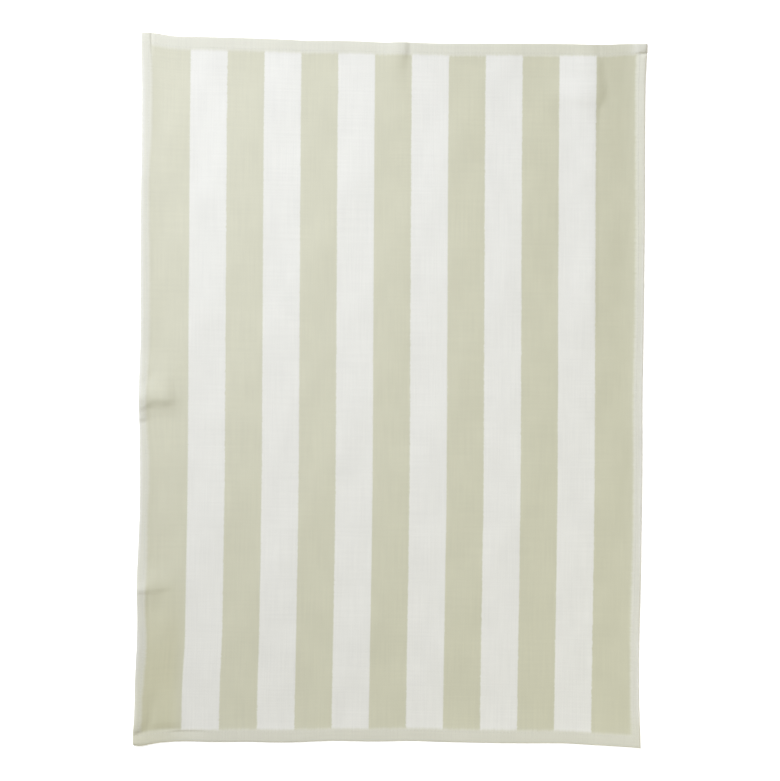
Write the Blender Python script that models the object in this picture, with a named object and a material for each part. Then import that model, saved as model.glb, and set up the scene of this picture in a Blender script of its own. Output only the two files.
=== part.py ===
"""A striped cotton tea towel, hemmed on all four sides, lying face up on a flat surface.

The towel is one woven sheet. Its hems are the same cloth turned twice to the back, so they are
only thicker, and the face rises over them while the underside stays flat. A few folds that it
kept from being packed lift it a little near its edges, and its outline wanders as laid by hand.
X runs across the towel, Y along it and Z up, with Z = 0 where it touches the surface.
"""

import math
from collections import namedtuple

import bmesh
import bpy

MM = 0.001

# The finished towel
WIDTH = 500 * MM
LENGTH = 700 * MM
CLOTH_THICKNESS = 1.0 * MM
HEM_THICKNESS = 2.2 * MM
SIDE_HEM_WIDTH = 8.3 * MM
END_HEM_WIDTH = 12.4 * MM
SHOULDER = 3.0 * MM              # run in which the face falls from the hem to the single cloth

# How it lies: its corners, which are not quite square, measured from the middle of its outline
Corner = namedtuple("Corner", "x y")
BOTTOM_LEFT = Corner(-256.5 * MM, -353.9 * MM)
BOTTOM_RIGHT = Corner(249.5 * MM, -355.3 * MM)
TOP_LEFT = Corner(-247.0 * MM, 356.3 * MM)
TOP_RIGHT = Corner(256.5 * MM, 345.3 * MM)

# How far each edge stands out from the straight line between its corners.
# Columns: place along the edge (0 to 1), distance outwards in mm. Side edges run bottom to top
# and ends run left to right.
LEFT_EDGE = (
    (0.00, 0.0), (0.016, 0.0), (0.03, -1.3), (0.09, -2.1), (0.17, -3.2), (0.22, -2.4),
    (0.34, -4.1), (0.43, -3.1), (0.49, -1.8), (0.57, -2.6), (0.66, -2.0), (0.74, -1.1),
    (0.85, -1.3), (0.95, -0.4), (1.00, 0.7),
)
RIGHT_EDGE = (
    (0.00, 0.0), (0.04, -1.1), (0.07, -1.8), (0.15, -2.3), (0.21, -1.6), (0.30, -1.1),
    (0.42, -1.0), (0.48, -1.5), (0.60, -1.1), (0.77, -1.1), (0.87, -1.7), (0.96, -1.2),
    (0.985, -0.3), (0.993, 0.1), (1.00, -0.3),
)
BOTTOM_EDGE = (
    (0.00, 0.0), (0.02, 0.1), (0.035, -1.7), (0.06, -4.0), (0.10, -5.1), (0.16, -4.3),
    (0.235, -4.5), (0.29, -3.9), (0.40, -5.7), (0.48, -5.2), (0.545, -5.9), (0.60, -5.1),
    (0.70, -3.9), (0.78, -3.2), (0.85, -3.2), (0.91, -1.6), (0.97, 0.2), (1.00, 1.1),
)
TOP_EDGE = (
    (0.00, 0.0), (0.016, 0.1), (0.035, -0.9), (0.065, -2.7), (0.12, -2.9), (0.185, -3.0),
    (0.27, -3.3), (0.33, -4.0), (0.40, -3.4), (0.45, -3.7), (0.48, -4.2), (0.52, -3.2),
    (0.57, -3.6), (0.69, -2.5), (0.84, -1.3), (0.925, -1.5), (0.96, -0.2), (0.985, 0.4),
    (1.00, 0.1),
)
# Sideways bow of the cloth between its side edges. Columns: place along (0 to 1), shift in mm.
BOW = ((0.00, 0.0), (0.14, 0.4), (0.35, 1.0), (0.63, -0.2), (0.96, -1.4), (1.00, -1.4))
SIDE_SWAY_REACH = 45 * MM        # how far in from a side its own sway is felt
END_SWAY_REACH = 180 * MM        # how far in from an end its own sway is felt

# Folds that stand up from the surface. Each crest starts at a place on the towel, measured from
# its bottom left corner, heads inwards and dies away. The flanks to the left and to the right of
# the crest, seen along its heading, have their own widths.
Fold = namedtuple("Fold", "name across along heading reach height left_flank right_flank")
FOLDS = (
    Fold("middle fold at the left edge", 0 * MM, 345 * MM, 2, 56 * MM, 3.0 * MM, 32 * MM, 14 * MM),
    Fold("lower fold at the left edge", 0 * MM, 158 * MM, 5, 48 * MM, 1.8 * MM, 26 * MM, 12 * MM),
    Fold("lengthwise fold at the top", 260 * MM, 700 * MM, -90, 55 * MM, 1.0 * MM, 8 * MM, 8 * MM),
    Fold("fold by the top right corner", 447 * MM, 700 * MM, -88, 95 * MM, 1.5 * MM, 14 * MM, 24 * MM),
    Fold("turned bottom left corner", 3 * MM, 18 * MM, 58, 60 * MM, 2.0 * MM, 20 * MM, 15 * MM),
)

# Spacing of the grid that the sheet is made from, and its closer lines around a fold's middle
GRID_STEP = 15.5 * MM
LINES_AT_A_FOLD = (-9 * MM, -4 * MM, 0.0, 4 * MM, 9 * MM)

CLOTH_COLOUR = (0.60, 0.60, 0.45, 1.0)


def clear_scene():
    """Remove whatever the file holds."""
    for thing in list(bpy.data.objects):
        bpy.data.objects.remove(thing, do_unlink=True)


def through(rows, place):
    """Value at a place of the smooth curve through (place, value) rows."""
    last = len(rows) - 1
    i = 0
    while i < last - 1 and place > rows[i + 1][0]:
        i += 1
    (x0, y0), (x1, y1) = rows[i], rows[i + 1]
    before = rows[max(i - 1, 0)]
    after = rows[min(i + 2, last)]
    slope0 = (y1 - before[1]) / (x1 - before[0])
    slope1 = (after[1] - y0) / (after[0] - x0)
    run = x1 - x0
    f = min(max((place - x0) / run, 0.0), 1.0)
    start = y0 * (1 + 2 * f) * (1 - f) ** 2 + slope0 * run * f * (1 - f) ** 2
    end = y1 * f * f * (3 - 2 * f) + slope1 * run * f * f * (f - 1)
    return start + end


def dying(share):
    """Soft fall from 1 at share 0 or less to 0 at share 1 or more."""
    share = min(max(share, 0.0), 1.0)
    return 0.5 * (1 + math.cos(math.pi * share))


def lay(across, along):
    """Where a place on the towel lies: x and y on the surface."""
    u = across / WIDTH
    v = along / LENGTH
    left_x = BOTTOM_LEFT.x + (TOP_LEFT.x - BOTTOM_LEFT.x) * v
    right_x = BOTTOM_RIGHT.x + (TOP_RIGHT.x - BOTTOM_RIGHT.x) * v
    bottom_y = BOTTOM_LEFT.y + (BOTTOM_RIGHT.y - BOTTOM_LEFT.y) * u
    top_y = TOP_LEFT.y + (TOP_RIGHT.y - TOP_LEFT.y) * u
    near_left = dying(across / SIDE_SWAY_REACH)
    near_right = dying((WIDTH - across) / SIDE_SWAY_REACH)
    sway = through(BOW, v) * (1 - near_left - near_right)
    sway += through(RIGHT_EDGE, v) * near_right - through(LEFT_EDGE, v) * near_left
    rise = through(TOP_EDGE, u) * dying((LENGTH - along) / END_SWAY_REACH)
    rise -= through(BOTTOM_EDGE, u) * dying(along / END_SWAY_REACH)
    x = left_x + (right_x - left_x) * u + sway * MM
    y = bottom_y + (top_y - bottom_y) * v + rise * MM
    return x, y


def lift(across, along):
    """How far the folds raise a place on the towel from the surface."""
    height = 0.0
    for fold in FOLDS:
        heading = math.radians(fold.heading)
        dx = across - fold.across
        dy = along - fold.along
        inwards = dx * math.cos(heading) + dy * math.sin(heading)
        leftwards = dy * math.cos(heading) - dx * math.sin(heading)
        flank = fold.left_flank if leftwards > 0 else fold.right_flank
        raised = fold.height * dying(inwards / fold.reach) * dying(abs(leftwards) / flank)
        height = max(height, raised)
    return height


def hem_share(across, along):
    """1 on the hems, 0 on the single cloth, in between on the shoulder."""
    from_side = min(across, WIDTH - across) - SIDE_HEM_WIDTH
    from_end = min(along, LENGTH - along) - END_HEM_WIDTH
    return dying(min(from_side, from_end) / SHOULDER)


def grid_lines(span, hem, fold_places):
    """Places of the grid's lines along one side: the hems, each fold, and an even step."""
    border = [0.0, hem / 2, hem, hem + SHOULDER]
    lines = border + [span - place for place in border]
    lines += [place + offset for place in fold_places for offset in LINES_AT_A_FOLD]
    count = round(span / GRID_STEP)
    for i in range(1, count):
        place = span * i / count
        if min(abs(place - other) for other in lines) > GRID_STEP * 0.4:
            lines.append(place)
    return sorted(lines)


def sheet_grid():
    """Columns and rows of the sheet's grid, closer where a fold runs along them."""
    across_places = []
    along_places = []
    for fold in FOLDS:
        heading = math.radians(fold.heading)
        if abs(math.sin(heading)) > 0.5:
            across_places.append(fold.across + math.cos(heading) * fold.reach / 2)
        if abs(math.cos(heading)) > 0.5:
            along_places.append(fold.along + math.sin(heading) * fold.reach / 2)
    columns = grid_lines(WIDTH, SIDE_HEM_WIDTH, across_places)
    rows = grid_lines(LENGTH, END_HEM_WIDTH, along_places)
    return columns, rows


def make_material(name, colour):
    """Plain dull cloth."""
    material = bpy.data.materials.new(name)
    material.use_nodes = True
    shader = material.node_tree.nodes["Principled BSDF"]
    shader.inputs["Base Color"].default_value = colour
    shader.inputs["Roughness"].default_value = 0.9
    shader.inputs["Metallic"].default_value = 0.0
    return material


def make_towel():
    """The sheet's underside as a grid, thickened upwards, more at the hems."""
    columns, rows = sheet_grid()
    bm = bmesh.new()
    weights = bm.verts.layers.deform.verify()
    net = []
    for along in rows:
        line = []
        for across in columns:
            x, y = lay(across, along)
            vert = bm.verts.new((x, y, lift(across, along)))
            thickness = CLOTH_THICKNESS + (HEM_THICKNESS - CLOTH_THICKNESS) * hem_share(across, along)
            vert[weights][0] = thickness / HEM_THICKNESS
            line.append(vert)
        net.append(line)
    for lower, upper in zip(net, net[1:]):
        for i in range(len(columns) - 1):
            bm.faces.new((lower[i], lower[i + 1], upper[i + 1], upper[i]))
    mesh = bpy.data.meshes.new("tea_towel")
    bm.to_mesh(mesh)
    bm.free()
    towel = bpy.data.objects.new("tea_towel", mesh)
    bpy.context.collection.objects.link(towel)
    towel.vertex_groups.new(name="thickness")
    thicken = towel.modifiers.new("thickness", "SOLIDIFY")
    thicken.thickness = HEM_THICKNESS
    thicken.offset = 1.0
    thicken.vertex_group = "thickness"
    mesh.shade_smooth()
    mesh.materials.append(make_material("striped cotton", CLOTH_COLOUR))
    return towel


clear_scene()
make_towel()
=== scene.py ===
import math
import random
from collections import namedtuple

import bpy
import numpy as np
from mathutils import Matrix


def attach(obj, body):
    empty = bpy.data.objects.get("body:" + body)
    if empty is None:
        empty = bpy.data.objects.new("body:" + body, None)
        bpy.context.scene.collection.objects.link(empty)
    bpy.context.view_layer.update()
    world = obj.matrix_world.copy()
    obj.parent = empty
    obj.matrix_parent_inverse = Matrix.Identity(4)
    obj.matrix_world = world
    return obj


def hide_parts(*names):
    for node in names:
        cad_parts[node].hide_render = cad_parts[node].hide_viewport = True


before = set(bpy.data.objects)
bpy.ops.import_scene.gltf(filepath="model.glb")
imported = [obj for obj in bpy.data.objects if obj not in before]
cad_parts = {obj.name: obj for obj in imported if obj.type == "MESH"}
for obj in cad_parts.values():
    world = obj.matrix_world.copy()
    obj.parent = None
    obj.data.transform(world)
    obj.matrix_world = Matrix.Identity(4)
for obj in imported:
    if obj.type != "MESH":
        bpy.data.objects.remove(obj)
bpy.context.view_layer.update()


# ------------------------------------------------------------------------------------------
# The towel: one length of woven cotton with lengthwise stripes, laid face up by hand. Its
# edges are turned twice to the back, so its hems are three layers thick and round at the
# outer edge, and it has kept a few folds from its packet, the sharpest at its left edge.
# ------------------------------------------------------------------------------------------

MM = 0.001

WIDTH = 500 * MM
LENGTH = 700 * MM
CLOTH_THICKNESS = 0.5 * MM
SIDE_HEM = 8.3 * MM
END_HEM = 12.4 * MM
SEAM_INSET = 2.6 * MM            # from a hem's inner edge out to its line of stitches

# Where the corners lie, from the middle of the outline
Corner = namedtuple("Corner", "x y")
BOTTOM_LEFT = Corner(-256.5 * MM, -353.9 * MM)
BOTTOM_RIGHT = Corner(249.5 * MM, -355.3 * MM)
TOP_LEFT = Corner(-247.0 * MM, 356.3 * MM)
TOP_RIGHT = Corner(256.5 * MM, 345.3 * MM)

# How far each edge stands out from the straight line between its corners.
# Columns: place along the edge (0 to 1, upwards or to the right), distance outwards in mm.
LEFT_EDGE = (
    (0.00, -0.9), (0.007, -0.1), (0.016, -0.4), (0.03, -1.1), (0.09, -1.7), (0.17, -3.2),
    (0.22, -2.4), (0.34, -4.1), (0.43, -3.1), (0.49, -1.8), (0.57, -2.6), (0.66, -2.0), (0.74, -1.1),
    (0.85, -1.3), (0.95, -0.4), (1.00, 0.7),
)
RIGHT_EDGE = (
    (0.00, 0.0), (0.04, -1.1), (0.07, -1.8), (0.15, -2.3), (0.21, -1.6), (0.30, -1.1),
    (0.42, -1.0), (0.48, -1.5), (0.60, -1.1), (0.77, -1.1), (0.87, -1.7), (0.96, -1.2),
    (0.985, -0.3), (0.993, 0.1), (1.00, -0.3),
)
BOTTOM_EDGE = (
    (0.00, -0.8), (0.01, -0.2), (0.02, -0.4), (0.035, -1.7), (0.06, -3.5), (0.10, -4.8), (0.16, -4.3),
    (0.235, -4.5), (0.29, -3.9), (0.40, -5.7), (0.48, -5.2), (0.545, -5.9), (0.60, -5.1),
    (0.70, -4.1), (0.78, -3.8), (0.85, -3.8), (0.91, -2.1), (0.97, -0.4), (1.00, 0.7),
)
TOP_EDGE = (
    (0.00, 0.0), (0.016, 0.1), (0.035, -0.9), (0.065, -2.7), (0.12, -2.9), (0.185, -3.0),
    (0.27, -3.5), (0.33, -4.3), (0.40, -3.8), (0.45, -4.0), (0.48, -4.5), (0.52, -3.8),
    (0.57, -4.2), (0.69, -3.2), (0.84, -2.1), (0.925, -1.9), (0.96, -0.7), (0.985, -0.2),
    (1.00, -0.1),
)
SIDE_SWAY_REACH = 45 * MM        # how far in from a side or an end its edge is still felt
END_SWAY_REACH = 180 * MM
# Sideways bow of the cloth between its side edges. Columns: place along (0 to 1), mm.
BOW = ((0.00, 0.0), (0.14, 0.4), (0.35, 1.0), (0.63, -0.2), (0.96, -1.4), (1.00, -1.4))
# The cloth near the bottom left corner is drawn towards the left hem. The pull grows from the
# hem in to PULL_FULL, and it dies away across the towel and, above PULL_DIES_ABOVE, along it.
CORNER_PULL = 2.6 * MM
PULL_FULL = 4 * SIDE_HEM
PULL_REACH_ACROSS = 200 * MM
PULL_DIES_ABOVE = 40 * MM
PULL_REACH_ALONG = 115 * MM

# How wide each hem was turned. Columns: place along the edge (0 to 1), width in mm.
LEFT_HEM = (
    (0.00, 8.3), (0.06, 8.0), (0.10, 9.5), (0.145, 10.1), (0.185, 8.3), (0.25, 9.8),
    (0.32, 8.5), (0.40, 9.6), (0.47, 7.6), (0.54, 9.0), (0.62, 9.3), (0.72, 9.1),
    (0.80, 8.1), (0.86, 10.0), (1.00, 10.1),
)
RIGHT_HEM = (
    (0.00, 8.8), (0.12, 8.9), (0.20, 9.3), (0.31, 8.8), (0.40, 9.2), (0.52, 9.3),
    (0.66, 8.8), (0.78, 9.2), (0.88, 9.3), (0.95, 10.0), (1.00, 10.5),
)
BOTTOM_HEM = (
    (0.00, 13.0), (0.05, 12.2), (0.09, 11.7), (0.15, 12.2), (0.30, 12.9), (0.42, 12.6),
    (0.50, 13.0), (0.64, 13.2), (0.78, 13.3), (0.88, 12.6), (1.00, 12.9),
)
TOP_HEM = (
    (0.00, 12.7), (0.12, 13.1), (0.28, 12.9), (0.42, 12.4), (0.60, 12.3), (0.75, 12.3),
    (0.87, 12.0), (0.95, 11.3), (1.00, 10.7),
)
HEM_WIDTH_REACH = 4.0            # how far in, in hem widths, a wider hem still shifts the cloth


def curve_through(rows, places, column=1):
    """Smooth curve through a table's first column and one of its others."""
    table = np.array(rows, float)
    x = table[:, 0]
    y = table[:, column]
    slope = np.gradient(y, x)
    i = np.clip(np.searchsorted(x, places, side="right") - 1, 0, len(x) - 2)
    run = x[i + 1] - x[i]
    f = np.clip((places - x[i]) / run, 0, 1)
    start = y[i] * (1 + 2 * f) * (1 - f) ** 2 + slope[i] * run * f * (1 - f) ** 2
    end = y[i + 1] * f * f * (3 - 2 * f) + slope[i + 1] * run * f * f * (f - 1)
    return start + end


def dying(share):
    """Soft fall from 1 at share 0 or less to 0 at share 1 or more."""
    return 0.5 * (1 + np.cos(np.pi * np.clip(share, 0, 1)))


def hem_shift(from_edge, hem, widths, places):
    """How far a hem that was turned wider or narrower than usual shifts the cloth inwards."""
    extra = curve_through(widths, places) * MM - hem
    rising = np.clip(from_edge / hem, 0, 1)
    falling = dying((from_edge / hem - 1) / (HEM_WIDTH_REACH - 1))
    return extra * rising * falling


def lay(across, along):
    """Where places on the towel lie: their x and y on the surface."""
    u = across / WIDTH
    v = along / LENGTH
    left_x = BOTTOM_LEFT.x + (TOP_LEFT.x - BOTTOM_LEFT.x) * v
    right_x = BOTTOM_RIGHT.x + (TOP_RIGHT.x - BOTTOM_RIGHT.x) * v
    bottom_y = BOTTOM_LEFT.y + (BOTTOM_RIGHT.y - BOTTOM_LEFT.y) * u
    top_y = TOP_LEFT.y + (TOP_RIGHT.y - TOP_LEFT.y) * u
    near_left = dying(across / SIDE_SWAY_REACH)
    near_right = dying((WIDTH - across) / SIDE_SWAY_REACH)
    sway = curve_through(BOW, v) * (1 - near_left - near_right)
    sway += curve_through(RIGHT_EDGE, v) * near_right - curve_through(LEFT_EDGE, v) * near_left
    rise = curve_through(TOP_EDGE, u) * dying((LENGTH - along) / END_SWAY_REACH)
    rise -= curve_through(BOTTOM_EDGE, u) * dying(along / END_SWAY_REACH)
    x = left_x + (right_x - left_x) * u + sway * MM
    y = bottom_y + (top_y - bottom_y) * v + rise * MM
    pull = CORNER_PULL * np.clip((across - SIDE_HEM) / (PULL_FULL - SIDE_HEM), 0, 1)
    pull = pull * dying(across / PULL_REACH_ACROSS)
    x -= pull * dying((along - PULL_DIES_ABOVE) / (PULL_REACH_ALONG - PULL_DIES_ABOVE))
    x += hem_shift(across, SIDE_HEM, LEFT_HEM, v)
    x -= hem_shift(WIDTH - across, SIDE_HEM, RIGHT_HEM, v)
    y += hem_shift(along, END_HEM, BOTTOM_HEM, u)
    y -= hem_shift(LENGTH - along, END_HEM, TOP_HEM, u)
    return x, y


# The folds and creases, listed one by one. Each runs across the towel or along it, and its rows say, in
# mm from the bottom left corner: how far along its run, where its crest lies, how high it
# stands there (less than 0 for a trough), and how wide its low and high flanks are.
Fold = namedtuple("Fold", "name runs rows")
FOLDS = (
    Fold("middle fold at the left edge", "across", (
        (0, 333.8, 1.1, 5, 24), (6, 334.2, 1.1, 5.6, 26), (10, 338, 1.35, 8.5, 26),
        (14, 340.8, 1.7, 10.5, 28), (29, 341.3, 1.65, 10, 26), (33, 341.5, 1.2, 9.5, 24),
        (37, 341.8, 0.5, 9.5, 18), (42, 342, 0.25, 10, 14), (58, 343, 0, 10, 14),
    )),
    Fold("step in the hem above the middle fold", "across", (
        (0, 341, 0.8, 7, 16), (6, 341, 0.8, 7, 18), (9, 341, 0.35, 7, 18),
        (12, 340.5, 0, 7, 18),
    )),
    Fold("swelling about the middle fold", "across", (
        (0, 350, 2.0, 34, 40), (8, 350.5, 1.9, 34, 40), (20, 351, 1.6, 34, 42),
        (36, 350, 0.4, 30, 40), (50, 350, 0.15, 26, 36), (66, 350, 0, 26, 36),
    )),
    Fold("slack hem under the middle fold", "across", (
        (0, 334, 0.7, 18, 26), (7, 334, 0.7, 18, 26), (12, 335, 0.3, 18, 26), (18, 336, 0, 18, 26),
    )),
    Fold("slack cloth under the middle fold", "across", (
        (12, 336, 0, 14, 20), (20, 336, 0.5, 14, 20), (34, 336, 0.5, 14, 20), (44, 336, 0, 14, 20),
    )),
    Fold("nick under the middle fold", "across", (
        (0, 321.5, 1.0, 4, 26), (5, 321.6, 0.85, 4, 26), (9, 323, 0.3, 5, 24),
        (13, 324, 0, 5, 24),
    )),
    Fold("upper mark inside the middle fold", "across", (
        (28, 369, 0, 3, 6), (33, 369.5, 0.14, 3, 7), (42, 370.5, 0.1, 3, 6), (46, 371, 0, 3, 6),
    )),
    Fold("lower mark inside the middle fold", "across", (
        (27, 361, 0, 3, 5), (30, 361.5, 0.1, 3, 6), (36, 362, 0.1, 3, 6), (40, 362, 0, 3, 5),
    )),
    Fold("lower fold at the left edge", "across", (
        (0, 151.5, 0.7, 3, 10), (7, 151.9, 0.7, 3.4, 12), (11, 153.6, 0.65, 6, 18),
        (20, 155, 0.7, 7, 20), (28, 156.5, 0.6, 7, 20), (40, 158, 0, 8, 20),
    )),
    Fold("swelling about the lower fold", "across", (
        (0, 155, 1.2, 24, 32), (8, 156, 1.8, 27, 30), (16, 156.5, 2.0, 28, 28),
        (26, 157, 1.1, 27, 26), (40, 158, 0.4, 24, 24), (56, 159, 0, 24, 24),
    )),
    Fold("step beside the left hem", "along", (
        (100, 10.5, 0, 1.5, 2.5), (112, 10.5, -0.2, 1.5, 3), (140, 10.5, -0.38, 1.5, 4),
        (149, 10.5, -0.38, 1.5, 4), (154, 10.5, 0, 1.5, 4),
    )),
    Fold("lengthwise crease at the top", "along", (
        (250, 260.5, 0, 6, 7), (420, 260.5, 0.05, 6, 7), (600, 260.5, 0.05, 6, 8),
        (640, 259, 0.08, 12, 10), (660, 256.5, 0.35, 18, 11), (675, 256, 0.65, 22, 10.5),
        (683, 258.5, 1.0, 24, 9), (690, 261.2, 1.4, 24, 5.2), (700, 261.3, 1.4, 24, 5.2),
    )),
    Fold("shoulder beside that crease", "along", (
        (672, 251, 0, 24, 15), (682, 251, 0.5, 24, 15), (700, 251, 0.8, 26, 15),
    )),
    Fold("broad fold by the top right corner", "along", (
        (380, 452, 0, 36, 36), (460, 452, 0.5, 36, 36), (600, 451, 0.9, 34, 36),
        (700, 448, 1.0, 32, 34),
    )),
    Fold("crease on the broad fold", "along", (
        (380, 449.5, 0, 30, 4), (430, 449.5, 0.45, 36, 4), (600, 449.7, 0.5, 44, 4),
        (626, 450, 0.7, 55, 4), (638, 450.3, 1.1, 70, 5), (646, 450.4, 2.2, 70, 12),
        (657, 450.4, 2.2, 70, 13), (665, 450, 1.5, 70, 11), (684, 449.8, 1.0, 60, 8.5),
        (690, 450, 0.5, 50, 5), (700, 449.5, 0.5, 50, 4.5),
    )),
    Fold("dent in the top hem beside that crease", "along", (
        (684, 452, 0, 2.5, 3), (690, 452, -0.3, 2.5, 3), (700, 452, -0.35, 2.5, 3),
    )),
    Fold("turned bottom left corner", "along", (
        (8, 0, 0, 12, 14), (14, 1, 1.0, 12, 16), (20, 2.5, 1.7, 12, 18), (29, 5, 1.5, 14, 18),
        (38, 6.3, 1.1, 14, 18), (50, 9, 0.75, 14, 20), (66, 12, 0.4, 14, 20), (84, 14, 0, 14, 20),
    )),
    Fold("slack above the bottom hem", "across", (
        (17, 20, 0, 7, 40), (25, 20, 0.9, 7, 40), (42, 19.5, 0.8, 7, 40), (52, 19, 0.3, 6, 36),
        (60, 19, 0, 6, 30),
    )),
    Fold("gap along the bottom hem's inner edge", "across", (
        (36, 10.4, 0, 7, 1.5), (44, 10.4, -0.5, 7, 1.5), (56, 10.3, -0.6, 7, 1.5),
        (68, 10.3, -0.45, 7, 1.5), (78, 10.3, 0, 7, 1.5),
    )),
    Fold("hollow where the left hems meet", "across", (
        (0, 9.4, -0.7, 4.6, 5), (4, 10.4, -1.05, 5.4, 5.2), (9, 12, -0.6, 6, 5), (13, 12.8, -0.2, 6, 4),
        (17, 13, 0, 6, 4),
    )),
    Fold("roll of the bottom hem's outer edge", "across", (
        (0, 3, 0.22, 3, 11), (25, 3, 0.10, 3, 11), (500, 3, 0.10, 3, 11),
    )),
    Fold("side hem's edge under the top left corner", "along", (
        (668, 8.6, 0, 1.4, 1.6), (680, 8.6, -0.2, 1.4, 1.6), (688, 8.6, -0.5, 1.5, 1.6),
        (692, 8.6, -0.65, 1.5, 1.6), (700, 8.6, -0.7, 1.5, 1.6),
    )),
    Fold("notch under the top right corner", "across", (
        (482, 687.4, 0, 2.4, 1.6), (488, 687.6, -0.25, 2.6, 1.8), (493, 688.0, -0.7, 3, 2.2),
        (496, 688.3, -1.4, 3, 2.6), (500, 688.5, -2.1, 3, 2.9),
    )),
    Fold("old fold across the middle", "across", (
        (40, 348, 0, 5, 6), (90, 347, 0.06, 5, 6), (400, 346, 0.06, 5, 6), (470, 345, 0, 5, 6),
    )),
)

# Low waves in the cloth. Columns: height, wavelength across, wavelength along in mm, and
# the part of a wave by which it starts late.
Wave = namedtuple("Wave", "height across along late")
WAVES = (
    Wave(0.40, 210, 330, 0.10),
    Wave(0.30, 95, -240, 0.40),
    Wave(0.22, -70, 120, 0.70),
    Wave(0.14, 45, 88, 0.25),
    Wave(0.10, 160, 52, 0.55),
)
WAVE_SHARE_AT_EDGE = 0.3
WAVE_EDGE_REACH = 30 * MM


def lift(across, along):
    """How far the folds and waves raise places on the towel from the surface."""
    total = np.zeros(np.broadcast(across, along).shape)
    for fold in FOLDS:
        run, place = (across, along) if fold.runs == "across" else (along, across)
        crest, height, low_flank, high_flank = (
            curve_through(fold.rows, run / MM, column) for column in (1, 2, 3, 4)
        )
        tallest = max((row[2] for row in fold.rows), key=abs)
        height = np.clip(height, min(tallest, 0), max(tallest, 0))
        offset = place / MM - crest
        flank = np.where(offset < 0, low_flank, high_flank)
        total += height * MM * dying(np.abs(offset) / flank)
    from_edge = np.minimum(np.minimum(across, WIDTH - across), np.minimum(along, LENGTH - along))
    freedom = 1 - (1 - WAVE_SHARE_AT_EDGE) * dying(from_edge / WAVE_EDGE_REACH)
    for wave in WAVES:
        turns = across / (wave.across * MM) + along / (wave.along * MM) + wave.late
        total += wave.height * MM * freedom * (0.5 + 0.5 * np.sin(2 * np.pi * turns)) ** 2
    return total


# A hem's section, from its outer edge in, where its three layers stand like a low pillow, to
# where the single cloth has sunk back to the surface. Columns: place in hem widths, mm high.
HEM_SECTION = (
    (0.00, 1.15), (0.12, 1.36), (0.30, 1.45), (0.60, 1.45), (0.85, 1.40), (1.00, 1.28),
    (1.20, 1.07), (1.50, 0.88), (2.10, 0.65), (2.80, 0.50), (3.20, 0.50),
)
GROOVE_DEPTH = 0.02 * MM         # where the stitches pull the cloth down
GROOVE_WIDTH = 1.0 * MM
PUCKER = 0.08 * MM
PUCKER_WAVES = (11 * MM, 16.5 * MM, 27 * MM, 43 * MM)
PUCKER_REACH = 1.3               # in hem widths
PUCKER_STEP = 1.7                # how much later, in radians, each wave starts than the last
SIDE_LATE = 0.0
END_LATE = 2.0
HEM_END = 0.2 * MM               # run in which the turned-in layers end on the back
LEAST_THICKNESS = 0.3 * MM


def pucker(run, late):
    """Unevenness that the sewing leaves along a hem, from -1 to 1."""
    total = 0
    for i, wavelength in enumerate(PUCKER_WAVES):
        total = total + np.sin(2 * np.pi * run / wavelength + late + PUCKER_STEP * i)
    return total / len(PUCKER_WAVES)


def hem_rise(from_edge, hem, run, late):
    """How far a hem's layers, its puckers and its groove raise the face over single cloth."""
    layers = curve_through(HEM_SECTION, from_edge / hem) * MM - CLOTH_THICKNESS
    uneven = pucker(run, late) * np.sin(np.pi * np.clip(from_edge / (hem * PUCKER_REACH), 0, 1))
    groove = dying(np.abs(from_edge - hem + SEAM_INSET) / GROOVE_WIDTH)
    return layers + PUCKER * uneven - GROOVE_DEPTH * groove


def heights(across, along):
    """Heights of the face and of the back over the surface."""
    from_side = np.minimum(across, WIDTH - across)
    from_end = np.minimum(along, LENGTH - along)
    raised = lift(across, along)
    face = CLOTH_THICKNESS + raised
    face += hem_rise(from_side, SIDE_HEM, along, SIDE_LATE)
    face += hem_rise(from_end, END_HEM, across, END_LATE)
    off_side_hem = np.clip((from_side - SIDE_HEM) / HEM_END + 0.5, 0, 1)
    off_end_hem = np.clip((from_end - END_HEM) / HEM_END + 0.5, 0, 1)
    single = off_side_hem * off_end_hem
    back = np.maximum(face - CLOTH_THICKNESS, 0) * single + np.maximum(raised, 0) * (1 - single)
    return np.maximum(face, back + LEAST_THICKNESS), back


def round_edge(from_edge, face, back):
    """Face and back, brought together in a half round at the outer edge."""
    radius = (face - back) / 2
    middle = (face + back) / 2
    outwards = np.clip(1 - from_edge / radius, 0, 1)
    half = radius * np.sqrt(1 - outwards ** 2)
    return middle + half, middle - half


# The mesh's lines, in mm: from the outer edge, about a seam and about a hem's inner edge,
# then closer ones where folds need them (from, to, step), and the usual step elsewhere.
EDGE_LINES = (0.0, 0.05, 0.2, 0.5, 1.0, 1.8, 3.2)
SEAM_LINES = (-0.7, 0.0, 0.7)
HEM_LINES = (-0.8, -0.12, 0.12, 0.9, 2.2, 4.2, 7.2, 11.0)
CLOSE_COLUMNS = ((9, 46, 1.7), (252, 272, 1.8), (438, 468, 2.4))
CLOSE_ROWS = ((15, 52, 1.9), (143, 164, 1.5), (313, 348, 1.4), (354, 374, 2.0), (660, 686, 2.2))
USUAL_STEP = 4.5
LEAST_GAP = 0.6                  # of its step, the nearest that a line may come to another
MAP_GAP = 0.01                   # of the width, between the face and the back on the flat map
MAP_MARGIN = 0.005


def mesh_lines(span, hem, close):
    """Places of the mesh's lines along one side of the towel."""
    border = [place * MM for place in EDGE_LINES]
    border += [hem - SEAM_INSET + place * MM for place in SEAM_LINES]
    border += [hem + place * MM for place in HEM_LINES]
    lines = border + [span - place for place in border]
    for first, last, step in close + ((0, span / MM, USUAL_STEP),):
        count = round((last - first) / step)
        for i in range(count + 1):
            place = (first + (last - first) * i / count) * MM
            if min(abs(place - line) for line in lines) > LEAST_GAP * step * MM:
                lines.append(place)
    return np.array(sorted(lines))


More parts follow.
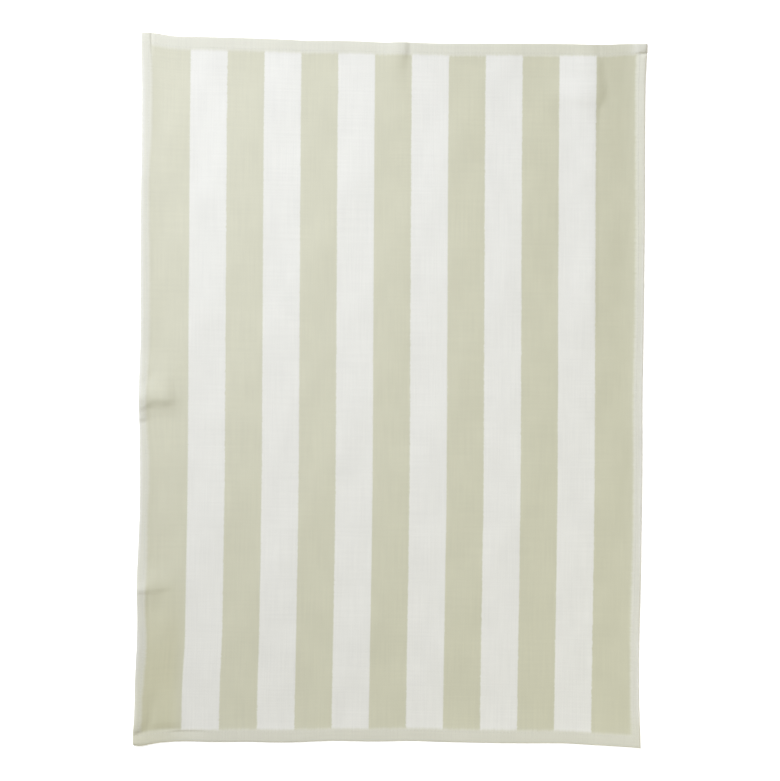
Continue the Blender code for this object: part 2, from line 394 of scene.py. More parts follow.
def add_flat_map(mesh, across, along, face_corners):
    """A flat map of the cloth, its face beside its back, from where each face's corners lie."""
    flat_u = np.copy(across)
    flat_u[face_corners:] += WIDTH * (1 + MAP_GAP)
    map_scale = (1 - 2 * MAP_MARGIN) / (WIDTH * (2 + MAP_GAP))
    flat = np.stack([flat_u, along], axis=1) * map_scale + MAP_MARGIN
    flat_map = mesh.uv_layers.new(name="OFBake")
    flat_map.data.foreach_set("uv", flat.astype(np.float32).ravel())


def make_cloth():
    """The face and the back as two nets that share their outer line, so the cloth is closed."""
    columns = mesh_lines(WIDTH, SIDE_HEM, CLOSE_COLUMNS)
    rows = mesh_lines(LENGTH, END_HEM, CLOSE_ROWS)
    across, along = np.meshgrid(columns, rows)
    x, y = lay(across, along)
    from_edge = np.minimum(np.minimum(across, WIDTH - across), np.minimum(along, LENGTH - along))
    face, back = round_edge(from_edge, *heights(across, along))
    high, wide = across.shape
    face_index = np.arange(high * wide).reshape(high, wide)
    inner_index = np.arange((high - 2) * (wide - 2)).reshape(high - 2, wide - 2)
    back_index = face_index.copy()
    back_index[1:-1, 1:-1] = high * wide + inner_index

    def both(on_face, on_back):
        return np.concatenate([on_face.ravel(), on_back[1:-1, 1:-1].ravel()])

    def quads(index):
        squares = (index[:-1, :-1], index[:-1, 1:], index[1:, 1:], index[1:, :-1])
        return np.stack([corner.ravel() for corner in squares], axis=1)

    points = np.stack([both(x, x), both(y, y), both(face, back)], axis=1)
    face_quads = quads(face_index)
    quad_points = np.concatenate([face_quads, quads(back_index)[:, ::-1]])
    mesh = bpy.data.meshes.new("tea_towel_cloth")
    mesh.from_pydata(points.tolist(), [], quad_points.tolist())
    mesh.shade_smooth()
    facts = {
        "across": both(across, across),
        "along": both(along, along),
        "back": both(np.zeros_like(x), np.ones_like(x)),
    }
    for name, values in facts.items():
        layer = mesh.attributes.new(name, "FLOAT", "POINT")
        layer.data.foreach_set("value", values.astype(np.float32))
    corners = quad_points.ravel()
    add_flat_map(mesh, facts["across"][corners], facts["along"][corners], face_quads.size)
    cloth = bpy.data.objects.new("tea_towel_cloth", mesh)
    bpy.context.scene.collection.objects.link(cloth)
    return cloth


# The weave. White warp runs lengthwise and sage weft crosswise. In the sage stripes the weft
# covers the face, in the white ones the warp does, and on the back they change over. The
# border that the hems are turned from is plain weave, so it shows both yarns evenly.
WARP_PITCH = 0.56 * MM
WEFT_PITCH = 0.62 * MM
SATIN_REPEAT = 5.0               # a yarn that covers a stripe is tied down once in five crossings
SATIN_STEP = 2.0                 # crossings that the tie moves on from one yarn to the next
FIRST_STRIPE_EDGE = 50.1 * MM    # from the left side to the first white stripe
STRIPE_WIDTH = 36.45 * MM
WHITE_STRIPES = 6
STRIPE_WANDER = 0.5 * MM
RAGGED_STRIPE = 3.5 * MM         # how unevenly single yarns end at a stripe's edge
RAGGED_BORDER = 3.0 * MM         # and at the edge of the border
STRIPE_BLUR = 0.6 * MM
BORDER_BLUR = 2.0 * MM
WHITE_YARN = (0.853, 0.841, 0.779, 1.0)
SAGE_YARN = (0.602, 0.586, 0.404, 1.0)
YARN_CONTRAST = 0.18             # how far each single crossing shows
YARN_RELIEF = 0.06 * MM
YARN_BUMP = 0.6                  # share of that relief that the light shows
TIED_SHARE = 0.2                 # of the crossings in a stripe, those where the other yarn is up

# The unevenness of yarns and cloth, as noise. Columns: how wide and how long its grains are,
# how detailed it is, and its seed.
Grain = namedtuple("Grain", "width length detail seed")
WARP_SWAY = Grain(8 * MM, 30 * MM, 2.0, 3.0)
WEFT_SWAY = Grain(30 * MM, 8 * MM, 2.0, 7.0)
STRIPE_SWAY = Grain(90 * MM, 45 * MM, 1.0, 41.0)
ENDS_AT_STRIPE = Grain(2.5 * MM, 0.8 * MM, 1.0, 47.0)
ENDS_AT_SIDE_BORDER = Grain(20 * MM, 1.1 * MM, 1.0, 59.0)
ENDS_AT_END_BORDER = Grain(1.1 * MM, 20 * MM, 1.0, 61.0)
PALE_EDGE_PATCHES = Grain(5 * MM, 5 * MM, 3.0, 53.0)
STREAKS = Grain(1.3 * MM, 55 * MM, 3.0, 11.0)
CROSS_STREAKS = Grain(60 * MM, 1.5 * MM, 3.0, 17.0)
DYE_PATCHES = Grain(28 * MM, 40 * MM, 3.0, 23.0)
SPECKS = Grain(0.9 * MM, 3.2 * MM, 1.0, 29.0)

Spot = namedtuple("Spot", "across along from_side from_end")


def take(tree, name):
    """A value that the mesh carries at each point."""
    node = tree.nodes.new("ShaderNodeAttribute")
    node.attribute_name = name
    return node.outputs["Fac"]


def feed(tree, sockets, values):
    """Give sockets their numbers, colours or links."""
    for socket, value in zip(sockets, values):
        if isinstance(value, bpy.types.NodeSocket):
            tree.links.new(value, socket)
        else:
            socket.default_value = value


def reckon(tree, operation, *values):
    """One step of arithmetic."""
    node = tree.nodes.new("ShaderNodeMath")
    node.operation = operation
    feed(tree, node.inputs, values)
    return node.outputs[0]


def product(tree, first, *others):
    """All the values multiplied."""
    for other in others:
        first = reckon(tree, "MULTIPLY", first, other)
    return first


def ramp(tree, value, low, high, start=0.0, end=1.0):
    """Smooth step of a value from start to end as it goes from low to high."""
    node = tree.nodes.new("ShaderNodeMapRange")
    node.interpolation_type = "SMOOTHSTEP"
    feed(tree, node.inputs, (value, low, high, start, end))
    return node.outputs["Result"]


def between(tree, share, first, second):
    """Mix of two numbers."""
    node = tree.nodes.new("ShaderNodeMix")
    node.data_type = "FLOAT"
    feed(tree, [s for s in node.inputs if s.type == "VALUE"], (share, first, second))
    return [s for s in node.outputs if s.type == "VALUE"][0]


def blend(tree, share, first, second, how="MIX"):
    """Mix of two colours."""
    node = tree.nodes.new("ShaderNodeMix")
    node.data_type = "RGBA"
    node.blend_type = how
    feed(tree, [node.inputs["Factor"]], [share])
    feed(tree, [s for s in node.inputs if s.type == "RGBA"], (first, second))
    return [s for s in node.outputs if s.type == "RGBA"][0]


def stain(tree, share, colour, tint):
    """A colour, as far as its share goes, multiplied by a tint."""
    return blend(tree, share, colour, blend(tree, 1.0, colour, tint, "MULTIPLY"))


def grain(tree, spot, kind):
    """Noise from 0 to 1 in grains of one kind."""
    place = tree.nodes.new("ShaderNodeCombineXYZ")
    wide = reckon(tree, "DIVIDE", spot.across, kind.width)
    long = reckon(tree, "DIVIDE", spot.along, kind.length)
    feed(tree, place.inputs, (wide, long, kind.seed))
    noise = tree.nodes.new("ShaderNodeTexNoise")
    noise.inputs["Scale"].default_value = 1.0
    noise.inputs["Detail"].default_value = kind.detail
    tree.links.new(place.outputs[0], noise.inputs["Vector"])
    return noise.outputs["Fac"]


def spot_on_towel(tree):
    """The place on the flat towel, and how far it is from the nearest side and end."""
    across = take(tree, "across")
    along = take(tree, "along")
    from_side = reckon(tree, "MINIMUM", across, reckon(tree, "SUBTRACT", WIDTH, across))
    from_end = reckon(tree, "MINIMUM", along, reckon(tree, "SUBTRACT", LENGTH, along))
    return Spot(across, along, from_side, from_end)


def yarns(tree, spot):
    """How round the yarns stand, and where plain and satin weave bring up the other one."""
    warp = reckon(tree, "MULTIPLY_ADD", spot.across, 1 / WARP_PITCH, grain(tree, spot, WARP_SWAY))
    weft = reckon(tree, "MULTIPLY_ADD", spot.along, 1 / WEFT_PITCH, grain(tree, spot, WEFT_SWAY))
    warp_round, weft_round = (
        reckon(tree, "ABSOLUTE", reckon(tree, "SINE", reckon(tree, "MULTIPLY", yarn, math.pi)))
        for yarn in (warp, weft)
    )
    warp_number = reckon(tree, "FLOOR", warp)
    weft_number = reckon(tree, "FLOOR", weft)
    plain = reckon(tree, "MODULO", reckon(tree, "ADD", warp_number, weft_number), 2.0)
    satin = reckon(tree, "MULTIPLY_ADD", warp_number, SATIN_STEP, weft_number)
    tie = reckon(tree, "COMPARE", reckon(tree, "MODULO", satin, SATIN_REPEAT), 0.0, 0.5)
    return warp_round, weft_round, plain, tie


def white_stripes(tree, spot):
    """1 in the stripes where the warp covers the face, 0 where the weft does."""
    place = reckon(tree, "MULTIPLY_ADD", grain(tree, spot, STRIPE_SWAY), STRIPE_WANDER, spot.across)
    place = reckon(tree, "MULTIPLY_ADD", grain(tree, spot, ENDS_AT_STRIPE), RAGGED_STRIPE, place)
    half = STRIPE_WIDTH / 2
    usual_shift = (STRIPE_WANDER + RAGGED_STRIPE) / 2
    run = reckon(tree, "SUBTRACT", place, FIRST_STRIPE_EDGE + half + usual_shift)
    from_middle = reckon(tree, "PINGPONG", run, STRIPE_WIDTH)
    white = ramp(tree, from_middle, half - STRIPE_BLUR, half + STRIPE_BLUR, 1.0, 0.0)
    last_edge = FIRST_STRIPE_EDGE + (2 * WHITE_STRIPES - 1) * STRIPE_WIDTH
    past_first = reckon(tree, "GREATER_THAN", spot.across, FIRST_STRIPE_EDGE - half)
    before_last = reckon(tree, "LESS_THAN", spot.across, last_edge + half)
    return product(tree, white, past_first, before_last)


def plain_border(tree, from_edge, hem, yarn_ends):
    """1 in the plain weave along two edges, which gives way to the stripes at their hems."""
    place = reckon(tree, "MULTIPLY_ADD", yarn_ends, RAGGED_BORDER, from_edge)
    middle = hem + RAGGED_BORDER / 2
    return ramp(tree, place, middle - BORDER_BLUR, middle + BORDER_BLUR, 1.0, 0.0)


# The share of white yarn that shows from afar. The stripes are painted paler and lower in
# contrast towards the top left, a painted sheen under the key light, and the border isn't equally white
# all round.
WHITE_IN_SAGE_STRIPE = 0.11
WHITE_IN_SAGE_UNDER_PAINTED_SHEEN = 0.22
WHITE_IN_WHITE_STRIPE = 0.88
WHITE_IN_WHITE_UNDER_PAINTED_SHEEN = 0.84
WHITE_IN_LEFT_HEM = 0.50
WHITE_IN_RIGHT_HEM = 0.62
WHITE_LOW_IN_RIGHT_HEM = 0.48
WHITE_HIGH_IN_RIGHT_HEM = 0.80
WHITE_IN_END_HEMS = 0.48
WHITE_TO_RIGHT_IN_TOP_HEM = 0.36
WHITER_TOP_RIGHT_CORNER = 0.22   # more than the rest of the top hem there

# Where these changes start and where they are complete
PAINTED_SHEEN_AT_BOTTOM = 0.5            # as against 1 further up
PAINTED_SHEEN_ALONG = (LENGTH * 0.15, LENGTH * 0.6)
TO_RIGHT = (WIDTH * 0.4, WIDTH * 0.6)
TO_TOP = (LENGTH * 0.7, LENGTH * 0.97)
OFF_BOTTOM_HEM = (16 * MM, 36 * MM)
TO_TOP_RIGHT = (WIDTH * 0.55, WIDTH * 0.85)
IN_RIGHT_CORNER = (WIDTH - 17 * MM, WIDTH - 8 * MM)

# The side edges are paler, least near the corners and where the right hem is whitest. At the
# lower fold the paling is held back, which paints shade on the hem there.
WHITE_AT_PALE_EDGE = 0.4               # share of white added at the very edge
PALE_EDGE_RUN = (0.5 * MM, 4.0 * MM)
LOWER_FOLD = 148 * MM
OFF_LOWER_FOLD = (22 * MM, 46 * MM)
PALING_IN_PAINTED_FOLD_SHADE = 0.1
OFF_CORNERS = (14 * MM, 40 * MM)
PALING_AT_CORNERS = 0.3


def white_from_afar(tree, spot, warp_up, border, end_border):
    """Share of white yarn that the eye sees where it can't part the single yarns."""
    # Painted sheen: strongest at the top left under the key light, half as strong at the bottom
    painted_sheen = product(tree,
                    ramp(tree, spot.across, 0.0, WIDTH, 1.0, 0.0),
                    ramp(tree, spot.along, *PAINTED_SHEEN_ALONG, PAINTED_SHEEN_AT_BOTTOM, 1.0))
    in_sage = between(tree, painted_sheen, WHITE_IN_SAGE_STRIPE, WHITE_IN_SAGE_UNDER_PAINTED_SHEEN)
    in_white = between(tree, painted_sheen, WHITE_IN_WHITE_STRIPE, WHITE_IN_WHITE_UNDER_PAINTED_SHEEN)
    in_stripes = between(tree, warp_up, in_sage, in_white)
    to_top = ramp(tree, spot.along, *TO_TOP)
    low_in_right = ramp(tree, spot.along, *OFF_BOTTOM_HEM, WHITE_LOW_IN_RIGHT_HEM, WHITE_IN_RIGHT_HEM)
    in_right = between(tree, to_top, low_in_right, WHITE_HIGH_IN_RIGHT_HEM)
    in_sides = between(tree, ramp(tree, spot.across, *TO_RIGHT), WHITE_IN_LEFT_HEM, in_right)
    to_top_right = product(tree, to_top, ramp(tree, spot.across, *TO_TOP_RIGHT))
    in_ends = between(tree, to_top_right, WHITE_IN_END_HEMS, WHITE_TO_RIGHT_IN_TOP_HEM)
    in_corner = product(tree, to_top, ramp(tree, spot.across, *IN_RIGHT_CORNER))
    in_ends = reckon(tree, "MULTIPLY_ADD", in_corner, WHITER_TOP_RIGHT_CORNER, in_ends)
    in_border = between(tree, end_border, in_sides, in_ends)
    return between(tree, border, in_stripes, in_border)


def paler_edges_with_painted_fold_shade(tree, spot):
    """Share of white added along the side edges, held back at the lower fold as painted shade."""
    from_fold = reckon(tree, "ABSOLUTE", reckon(tree, "SUBTRACT", spot.along, LOWER_FOLD))
    whitest = product(tree, ramp(tree, spot.across, *TO_RIGHT), ramp(tree, spot.along, *TO_TOP))
    # Held back at the lower fold: painted shade on the hem there
    return product(tree,
                   grain(tree, spot, PALE_EDGE_PATCHES),
                   ramp(tree, from_fold, *OFF_LOWER_FOLD, PALING_IN_PAINTED_FOLD_SHADE, 1.0),
                   ramp(tree, spot.from_end, *OFF_CORNERS, PALING_AT_CORNERS, 1.0),
                   reckon(tree, "SUBTRACT", 1.0, whitest),
                   ramp(tree, spot.from_side, *PALE_EDGE_RUN, WHITE_AT_PALE_EDGE, 0.0))


# Painted shade and age. Above the bottom left corner the cloth is painted a little darker and warmer,
# and the side hem there a little darker, as painted shade; the hems round that corner have gone creamy,
# and so has the right hem towards its top.
WARM_PAINTED_SHADE = (0.965, 0.955, 0.885, 1.0)
PAINTED_HEM_SHADE = (0.95, 0.95, 0.96, 1.0)
CREAMY_CORNER = (0.995, 0.99, 0.925, 1.0)
CREAMY_SIDE = (1.0, 1.0, 0.94, 1.0)

# Where each starts to change and where it has
PAINTED_SHADE_ACROSS = (36 * MM, 54 * MM)
PAINTED_SHADE_ALONG = (70 * MM, 190 * MM)
ABOVE_BOTTOM_HEM = (12 * MM, 16 * MM)
CREAMY_ACROSS = (20 * MM, 70 * MM)
CREAMY_ALONG = (40 * MM, 100 * MM)
CREAMY_UP_THE_SIDE = (LENGTH * 0.35, LENGTH * 0.95)


def painted_shade_and_cream(tree, spot, colour, side_border, end_border, border):
    """The colour with its painted shade above the bottom left corner, and its creamy places."""
    # Painted shade above the bottom left corner: darker and warmer on the cloth, darker on the side hem
    painted_shade_low_left = product(tree,
                       ramp(tree, spot.across, *PAINTED_SHADE_ACROSS, 1.0, 0.0),
                       ramp(tree, spot.along, *PAINTED_SHADE_ALONG, 1.0, 0.0),
                       ramp(tree, spot.along, *ABOVE_BOTTOM_HEM))
    colour = stain(tree, painted_shade_low_left, colour, blend(tree, side_border, WARM_PAINTED_SHADE, PAINTED_HEM_SHADE))
    round_corner = product(tree,
                           ramp(tree, spot.across, *CREAMY_ACROSS, 1.0, 0.0),
                           ramp(tree, spot.along, *CREAMY_ALONG, 1.0, 0.0),
                           border)
    colour = stain(tree, round_corner, colour, CREAMY_CORNER)
    up_the_side = product(tree,
                          ramp(tree, spot.across, *TO_RIGHT),
                          ramp(tree, spot.along, *CREAMY_UP_THE_SIDE),
                          reckon(tree, "SUBTRACT", border, end_border))
    return stain(tree, up_the_side, colour, CREAMY_SIDE)


# The seams, as far as they mark the cloth
SEAM_STITCH = 3.4 * MM
END_SEAM_MARGIN = 1.5 * MM       # an end seam starts and stops this far from the side edges
HOLE_EDGE = (0.25 * MM, 0.55 * MM)
HOLE_RUN = (0.25 * MM, 0.6 * MM)


def seam_pitch(margin, span):
    """Pitch of the stitches, so that whole ones fill a seam between its margins."""
    return (span - 2 * margin) / round((span - 2 * margin) / SEAM_STITCH)


def needle_holes(tree, from_edge, hem, run, margin, span):
    """1 at the holes of a seam where one stitch ends and the next begins, 0 elsewhere."""
    off_seam = reckon(tree, "ABSOLUTE", reckon(tree, "SUBTRACT", from_edge, hem - SEAM_INSET))
    past_hole = reckon(tree, "SUBTRACT", run, margin)
    past_hole = reckon(tree, "PINGPONG", past_hole, seam_pitch(margin, span) / 2)
    on_seam = ramp(tree, off_seam, *HOLE_EDGE, 1.0, 0.0)
    at_hole = ramp(tree, past_hole, *HOLE_RUN, 1.0, 0.0)
    return product(tree, on_seam, at_hole)


# How far each unevenness lightens and darkens the cloth. Columns: the noise it comes from, the
# values of the noise between which it changes, and the shade at each of them.
Shade = namedtuple("Shade", "grain low high at_low at_high")
SHADES = (
    Shade(STREAKS, 0.3, 0.7, 0.983, 1.017),
    Shade(CROSS_STREAKS, 0.3, 0.7, 0.987, 1.013),
    Shade(DYE_PATCHES, 0.3, 0.7, 0.985, 1.015),
    Shade(SPECKS, 0.70, 0.80, 1.0, 0.93),
)
SHADE_IN_HOLES = 0.94
SHADE_BETWEEN_YARNS = 0.96
SHADE_ON_YARNS = 0.10            # more than between them

# The roughness in the streaks, in the same columns
ROUGHNESS = Shade(STREAKS, 0.2, 0.8, 0.50, 0.58)

# What else swells and sinks the face, in yarn heights
STREAK_SWELLING = 0.8
CROSS_STREAK_SWELLING = 0.6
HOLE_SINKING = -1.0


def shaded(tree, noise, kind):
    """The shade that a noise gives, by one row of its table."""
    return ramp(tree, noise, kind.low, kind.high, kind.at_low, kind.at_high)


def woven_cotton():
    """The cloth's material, from its yarns up."""
    material = bpy.data.materials.new("woven_striped_cotton")
    material.use_nodes = True
    tree = material.node_tree
    shader = tree.nodes["Principled BSDF"]
    spot = spot_on_towel(tree)
    warp_round, weft_round, plain, tie = yarns(tree, spot)
    on_face = white_stripes(tree, spot)
    warp_up = reckon(tree, "ABSOLUTE", reckon(tree, "SUBTRACT", on_face, take(tree, "back")))
    side_ends = grain(tree, spot, ENDS_AT_SIDE_BORDER)
    end_ends = grain(tree, spot, ENDS_AT_END_BORDER)
    side_border = plain_border(tree, spot.from_side, SIDE_HEM, side_ends)
    end_border = plain_border(tree, spot.from_end, END_HEM, end_ends)
    border = reckon(tree, "MAXIMUM", side_border, end_border)

    # White yarn on top: what is usual in this weave, and how this crossing differs from it
    in_stripe = reckon(tree, "ABSOLUTE", reckon(tree, "SUBTRACT", warp_up, tie))
    on_top = between(tree, border, in_stripe, plain)
    usual_top = between(tree, border, between(tree, warp_up, TIED_SHARE, 1 - TIED_SHARE), 0.5)
    crossing = reckon(tree, "SUBTRACT", on_top, usual_top)
    far_white = white_from_afar(tree, spot, warp_up, border, end_border)
    white = reckon(tree, "MULTIPLY_ADD", crossing, YARN_CONTRAST, far_white)
    white = reckon(tree, "ADD", white, paler_edges_with_painted_fold_shade(tree, spot))
    colour = blend(tree, white, SAGE_YARN, WHITE_YARN)
    colour = painted_shade_and_cream(tree, spot, colour, side_border, end_border, border)

    # Slubs, uneven dyeing, and painted shade in the needle holes and between the yarns
    noises = {kind.grain: grain(tree, spot, kind.grain) for kind in SHADES}
    holes = reckon(tree, "ADD",
                   needle_holes(tree, spot.from_side, SIDE_HEM, spot.along, END_HEM, LENGTH),
                   needle_holes(tree, spot.from_end, END_HEM, spot.across, END_SEAM_MARGIN, WIDTH))
    between_yarns = product(tree, warp_round, weft_round)
    shades = [shaded(tree, noises[kind.grain], kind) for kind in SHADES]
    shades.append(ramp(tree, holes, 0.0, 1.0, 1.0, SHADE_IN_HOLES))
    shades.append(reckon(tree, "MULTIPLY_ADD", between_yarns, SHADE_ON_YARNS, SHADE_BETWEEN_YARNS))
    shade = product(tree, *shades)
    grey = tree.nodes.new("ShaderNodeCombineColor")
    feed(tree, grey.inputs, (shade, shade, shade))
    colour = blend(tree, 1.0, colour, grey.outputs[0], "MULTIPLY")
    tree.links.new(colour, shader.inputs["Base Color"])

    # Relief: the yarn on top stands proud, slubs swell it and needle holes sink
    warp_relief = product(tree, warp_round, on_top)
    relief = reckon(tree, "MULTIPLY_ADD", weft_round, reckon(tree, "SUBTRACT", 1.0, on_top), warp_relief)
    relief = reckon(tree, "MULTIPLY_ADD", noises[STREAKS], STREAK_SWELLING, relief)
    relief = reckon(tree, "MULTIPLY_ADD", noises[CROSS_STREAKS], CROSS_STREAK_SWELLING, relief)
    relief = reckon(tree, "MULTIPLY_ADD", holes, HOLE_SINKING, relief)
    bump = tree.nodes.new("ShaderNodeBump")
    bump.inputs["Distance"].default_value = YARN_RELIEF
    bump.inputs["Strength"].default_value = YARN_BUMP
    tree.links.new(relief, bump.inputs["Height"])
    tree.links.new(bump.outputs["Normal"], shader.inputs["Normal"])

    rough = shaded(tree, noises[STREAKS], ROUGHNESS)
    tree.links.new(rough, shader.inputs["Roughness"])
    shader.inputs["Specular IOR Level"].default_value = 0.5
    shader.inputs["Sheen Weight"].default_value = 0.08
    shader.inputs["Sheen Roughness"].default_value = 0.5
    return material


cloth = make_cloth()
cloth.data.materials.append(woven_cotton())
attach(cloth, "root")
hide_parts("tea_towel")


# ------------------------------------------------------------------------------------------
# The sewing: a lockstitch in cream cotton thread round all four hems, near their inner edge.
# The side hems are sewn first and the end hems over them, so the end rows run edge to edge.
# ------------------------------------------------------------------------------------------

STITCH_SHARE = 0.8               # of the way from one needle hole to the next
UNEVEN_STITCHES = (0.92, 1.05)   # shortest and longest, against the usual one
STITCH_SKEW = 0.12 * MM
THREAD_RADIUS = 0.16 * MM
THREAD_SIDES = 6
# Columns: place along the stitch (0 to 1), thickness share, height over the cloth in mm
STITCH_RINGS = (
    (0.0, 0.25, -0.30),
    (0.18, 0.9, 0.02),
    (0.5, 1.0, 0.10),
    (0.82, 0.9, 0.02),
    (1.0, 0.25, -0.30),
)
BACK_SUNK = 0.10 * MM            # the stitches on the back are pressed into the hem
SEWING_SEED = 5
PALE_THREAD = (0.82, 0.81, 0.72, 1.0)
DULL_THREAD = (0.75, 0.74, 0.63, 1.0)
TWIST_GROOVE_SHADE = (0.86, 0.86, 0.86, 1.0)
TWIST_CREST = (1.0, 1.0, 1.0, 1.0)
TWIST_RELIEF = 0.05 * MM
TWIST_BUMP = 0.5
TWIST_ROUGHNESS = (0.75, 0.62)   # in the grooves and on the crests

# The middle of a stitch on the flat towel, which way its seam runs, and the seam's pitch
Stitch = namedtuple("Stitch", "across along run_across run_along pitch")


def stitch_middles(margin, span):
    """Middles of the stitches along a seam, and the pitch between them."""
    pitch = seam_pitch(margin, span)
    count = round((span - 2 * margin) / pitch)
    return [margin + pitch * (i + 0.5) for i in range(count)], pitch


def towel_stitches():
    """Every stitch of the two side seams and of the two end seams."""
    places = []
    middles, pitch = stitch_middles(END_HEM, LENGTH)
    for across in (SIDE_HEM - SEAM_INSET, WIDTH - SIDE_HEM + SEAM_INSET):
        places += [Stitch(across, along, 0.0, 1.0, pitch) for along in middles]
    middles, pitch = stitch_middles(END_SEAM_MARGIN, WIDTH)
    for along in (END_HEM - SEAM_INSET, LENGTH - END_HEM + SEAM_INSET):
        places += [Stitch(across, along, 1.0, 0.0, pitch) for across in middles]
    return places


def thread_points(stitch, side, half, skew):
    """Rings of points round one bowed thread, on the face (side 1) or on the back (side -1)."""
    place, thickness, height = np.array(STITCH_RINGS).T
    steps = (place * 2 - 1) * half
    wander = (place * 2 - 1) * skew
    across = stitch.across + stitch.run_across * steps + stitch.run_along * wander
    along = stitch.along + stitch.run_along * steps + stitch.run_across * wander
    x, y = lay(across, along)
    face, back = heights(across, along)
    level = face if side > 0 else back + BACK_SUNK
    points = []
    for ring_x, ring_y, ring_z, thick in zip(x, y, level + side * height * MM, thickness):
        for k in range(THREAD_SIDES):
            angle = 2 * math.pi * k / THREAD_SIDES
            out = math.cos(angle) * THREAD_RADIUS * thick
            up = math.sin(angle) * THREAD_RADIUS * thick
            out_x = ring_x + stitch.run_along * out
            out_y = ring_y + stitch.run_across * out
            points.append((out_x, out_y, ring_z + up))
    return points


def thread_faces(start, run_across):
    """Sides and ends of the thread whose points begin at start, all facing outwards."""
    turn = 1 if run_across else -1
    faces = []
    for ring in range(len(STITCH_RINGS) - 1):
        low = start + ring * THREAD_SIDES
        high = low + THREAD_SIDES
        for k in range(THREAD_SIDES):
            after = (k + 1) % THREAD_SIDES
            faces.append((low + k, low + after, high + after, high + k)[::turn])
    end = start + (len(STITCH_RINGS) - 1) * THREAD_SIDES
    faces.append(tuple(range(start, start + THREAD_SIDES))[::-turn])
    faces.append(tuple(range(end, end + THREAD_SIDES))[::turn])
    return faces


def make_stitches():
    """The stitches of the face and of the back, as short threads in one mesh."""
    chance = random.Random(SEWING_SEED)
    points = []
    faces = []
    shades = []
    every_stitch = towel_stitches()
    for side in (1, -1):
        for stitch in every_stitch:
            half = stitch.pitch * STITCH_SHARE / 2 * chance.uniform(*UNEVEN_STITCHES)
            skew = chance.uniform(-STITCH_SKEW, STITCH_SKEW)
            shade = chance.uniform(0.0, 1.0)
            thread = thread_points(stitch, side, half, skew)
            faces += thread_faces(len(points), stitch.run_across)
            points += thread
            shades += [shade] * len(thread)
    mesh = bpy.data.meshes.new("hem_stitching")
    mesh.from_pydata(points, [], faces)
    mesh.shade_smooth()
    layer = mesh.attributes.new("shade", "FLOAT", "POINT")
    layer.data.foreach_set("value", np.array(shades, np.float32))
    stitching = bpy.data.objects.new("hem_stitching", mesh)
    bpy.context.scene.collection.objects.link(stitching)
    return stitching


def sewing_thread():
    """Spun cotton thread: fine twist bands with painted shade in their grooves, some stitches duller
    than others.
    """
    material = bpy.data.materials.new("sewing_thread")
    material.use_nodes = True
    tree = material.node_tree
    shader = tree.nodes["Principled BSDF"]
    place = tree.nodes.new("ShaderNodeTexCoord").outputs["Object"]
    twist = tree.nodes.new("ShaderNodeTexWave")
    twist.bands_direction = "DIAGONAL"
    twist.inputs["Scale"].default_value = 900.0
    twist.inputs["Distortion"].default_value = 1.5
    tree.links.new(place, twist.inputs["Vector"])
    colour = blend(tree, take(tree, "shade"), DULL_THREAD, PALE_THREAD)
    # The grooves between the twists are painted darker, as painted shade
    grooves = blend(tree, twist.outputs["Fac"], TWIST_GROOVE_SHADE, TWIST_CREST)
    tree.links.new(blend(tree, 1.0, colour, grooves, "MULTIPLY"), shader.inputs["Base Color"])
    bump = tree.nodes.new("ShaderNodeBump")
    bump.inputs["Distance"].default_value = TWIST_RELIEF
    bump.inputs["Strength"].default_value = TWIST_BUMP
    tree.links.new(twist.outputs["Fac"], bump.inputs["Height"])
    tree.links.new(bump.outputs["Normal"], shader.inputs["Normal"])
    rough = ramp(tree, twist.outputs["Fac"], 0.0, 1.0, *TWIST_ROUGHNESS)
    tree.links.new(rough, shader.inputs["Roughness"])
    shader.inputs["Sheen Weight"].default_value = 0.15
    return material


stitches = make_stitches()
stitches.data.materials.append(sewing_thread())
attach(stitches, "root")


# ------------------------------------------------------------------------------------------
# The studio: a wide pale floor with a low rim, a soft key light above the towel's top left
# corner, a broad slanting light from the same side, a weak fill light and the camera
# straight above.
# ------------------------------------------------------------------------------------------

FLOOR_DROP = 0.2 * MM
FLOOR_SIDES = 64
# From the middle of the floor out and up. Columns: distance, height in metres.
FLOOR_SECTION = ((3.0, 0.0), (19.0, 0.0), (19.7, 0.12), (20.0, 0.6))
FLOOR_COLOUR = (0.92, 0.92, 0.92, 1.0)
GLOW_COLOUR = (1.0, 1.0, 1.0, 1.0)
FLOOR_GLOW = 0.55

floor_points = []
for distance, height in FLOOR_SECTION:
    for i in range(FLOOR_SIDES):
        turn = 2 * math.pi * i / FLOOR_SIDES
        floor_points.append((distance * math.cos(turn), distance * math.sin(turn), height - FLOOR_DROP))
floor_faces = [tuple(range(FLOOR_SIDES))]
for ring in range(len(FLOOR_SECTION) - 1):
    for i in range(FLOOR_SIDES):
        inner = ring * FLOOR_SIDES + i
        after = ring * FLOOR_SIDES + (i + 1) % FLOOR_SIDES
        floor_faces.append((inner, inner + FLOOR_SIDES, after + FLOOR_SIDES, after))
floor_mesh = bpy.data.meshes.new("floor")
floor_mesh.from_pydata(floor_points, [], floor_faces)
floor_mesh.shade_smooth()
floor = bpy.data.objects.new("floor", floor_mesh)
bpy.context.scene.collection.objects.link(floor)
floor_paint = bpy.data.materials.new("pale_floor")
floor_paint.use_nodes = True
floor_shader = floor_paint.node_tree.nodes["Principled BSDF"]
floor_shader.inputs["Base Color"].default_value = FLOOR_COLOUR
floor_shader.inputs["Roughness"].default_value = 0.9
floor_shader.inputs["Specular IOR Level"].default_value = 0.2
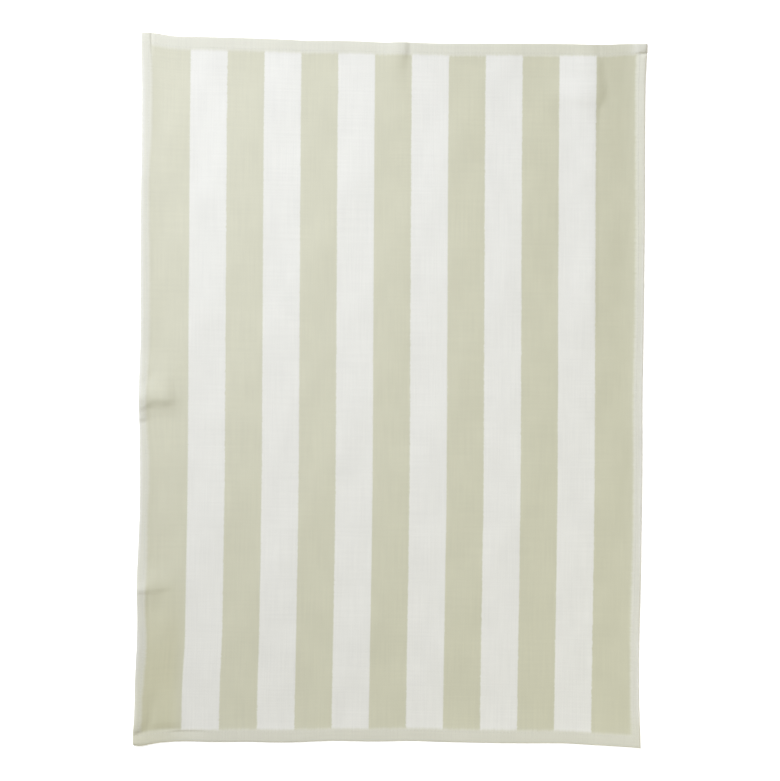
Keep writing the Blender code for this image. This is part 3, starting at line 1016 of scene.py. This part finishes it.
floor_shader.inputs["Emission Color"].default_value = GLOW_COLOUR
floor_shader.inputs["Emission Strength"].default_value = FLOOR_GLOW
floor_mesh.materials.append(floor_paint)

# Places and sizes in metres. The slanting light's power is in watts per square metre and its
# size is its spread in radians, the others' powers are in watts.
Light = namedtuple("Light", "name kind place size power colour")
LIGHTS = (
    Light("key_light", "POINT", (-0.353, 0.445, 0.91), 0.18, 19.1, (0.955, 1.0, 1.15)),
    Light("fill_light", "POINT", (1.005, -0.80, 0.80), 0.25, 21.7, (0.99, 1.0, 0.92)),
    Light("slanting_light", "SUN", (-2.0, 2.0, 2.2), 0.35, 2.05, (0.96, 1.0, 1.10)),
)


def add_light(light):
    """A soft light, turned towards the middle of the towel."""
    lamp = bpy.data.lights.new(light.name, light.kind)
    lamp.energy = light.power
    lamp.color = light.colour
    if light.kind == "SUN":
        lamp.angle = light.size
    else:
        lamp.shadow_soft_size = light.size
    holder = bpy.data.objects.new(light.name, lamp)
    holder.location = light.place
    x, y, z = light.place
    holder.rotation_euler = (math.atan2(math.hypot(x, y), z), 0.0, math.atan2(x, -y))
    holder.visible_camera = False
    bpy.context.scene.collection.objects.link(holder)


for light in LIGHTS:
    add_light(light)

AIR_COLOUR = (1.15, 1.0, 0.70, 1.0)
AIR_LIGHT = 0.112

world = bpy.data.worlds.new("studio")
world.use_nodes = True
air = world.node_tree.nodes["Background"]
air.inputs["Color"].default_value = AIR_COLOUR
air.inputs["Strength"].default_value = AIR_LIGHT
bpy.context.scene.world = world
bpy.context.scene.view_settings.view_transform = "Standard"

PICTURE_HEIGHT = 777.5 * MM      # how much of the surface the picture takes in
PICTURE_MIDDLE = (0.1 * MM, -0.05 * MM)
CAMERA_HEIGHT = 4.0

lens = bpy.data.cameras.new("camera")
lens.lens = lens.sensor_width * CAMERA_HEIGHT / PICTURE_HEIGHT
camera = bpy.data.objects.new("camera", lens)
camera.location = (*PICTURE_MIDDLE, CAMERA_HEIGHT)
bpy.context.scene.collection.objects.link(camera)
bpy.context.scene.camera = camera
